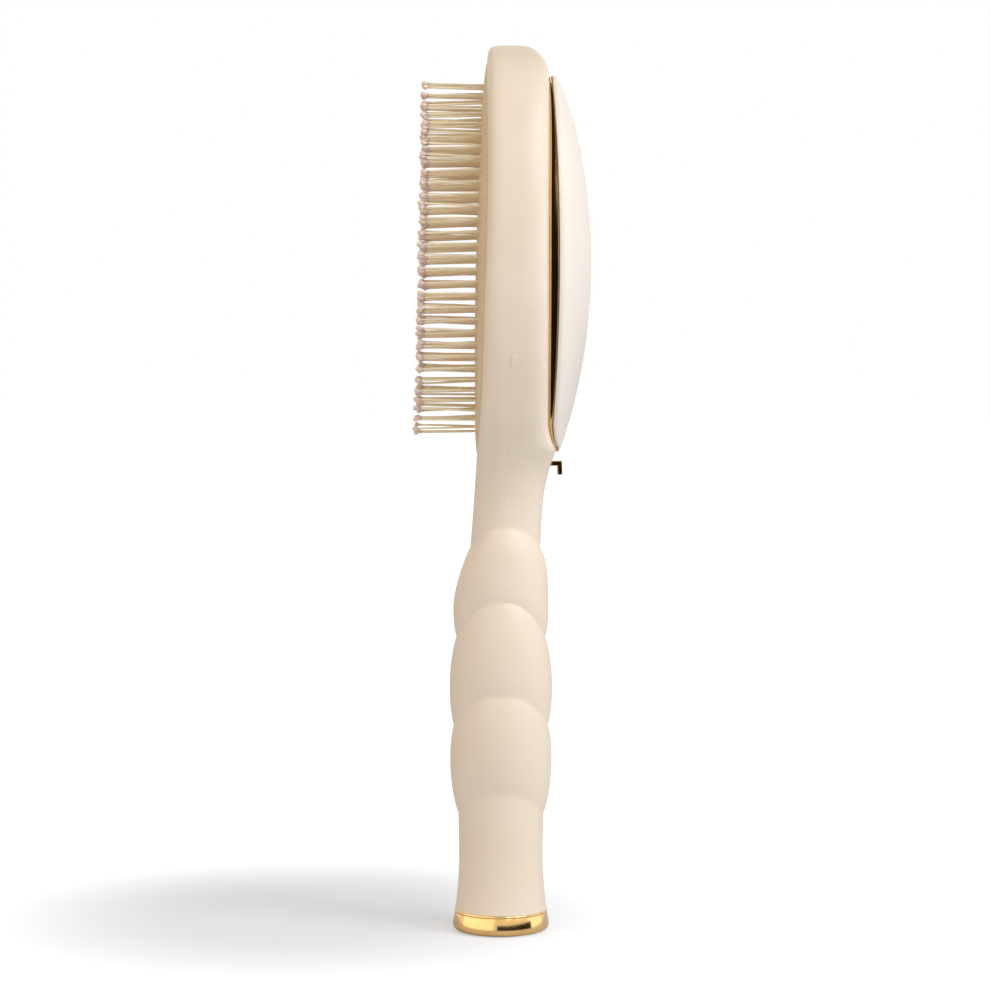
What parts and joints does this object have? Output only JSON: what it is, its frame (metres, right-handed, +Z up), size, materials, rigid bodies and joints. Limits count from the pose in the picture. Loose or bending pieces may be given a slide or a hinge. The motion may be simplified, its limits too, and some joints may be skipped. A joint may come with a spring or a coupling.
{
  "type": "detangling brush",
  "caption": "Detangling hair brush with a bubbled cream handle, ball-tipped pins in a cushion and a hinged domed lid with gold trim.",
  "frame": {"origin": "centre of the base underside, on the surface that the brush stands on", "axes": "+Z up the handle to the head, +X toward the domed lid, -X the way the pins point, Y across the head"},
  "size_m": [0.0483, 0.066, 0.24],
  "materials": {
    "shell_cream": "satin moulded",
    "lid_cream": "satin moulded",
    "gold_metal": "polished gold plate",
    "pin_nylon": "moulded nylon",
    "cushion_rubber": "matte",
    "foot_rubber": "matte",
    "inner_plastic": "moulded",
    "steel": "zinc plated"
  },
  "bodies": {
    "body": {"front_shell": "shell_cream", "back_shell": "shell_cream", "cushion_pad": "cushion_rubber", "pin_field": "pin_nylon", "pad_backplate": "inner_plastic", "compartment_tray": "inner_plastic", "tray_screws": "steel", "trim_ring": "gold_metal", "hinge_pin": "steel", "slide_guide": "inner_plastic", "release_spring": "steel", "base_cap": "gold_metal", "foot_pad": "foot_rubber", "handle_plug": "inner_plastic", "cap_screw": "steel", "ballast": "steel"},
    "lid": {"lid_shell": "lid_cream", "lid_liner": "inner_plastic", "liner_screws": "steel"},
    "release": {"release_slide": "gold_metal"}
  },
  "joints": [
    {"name": "lid_hinge", "type": "hinge", "parent": "body", "child": "lid", "pos_m": [0.01104, 0, 0.2308], "axis": [0, -1, 0], "range_deg": [0, 90]},
    {"name": "release_travel", "type": "slide", "parent": "body", "child": "release", "axis": [0, 0, -1], "range_m": [0, 0.0015], "stiffness_N_per_m": 300, "springref_m": -0.001, "deforming": ["release_spring"]}
  ]
}
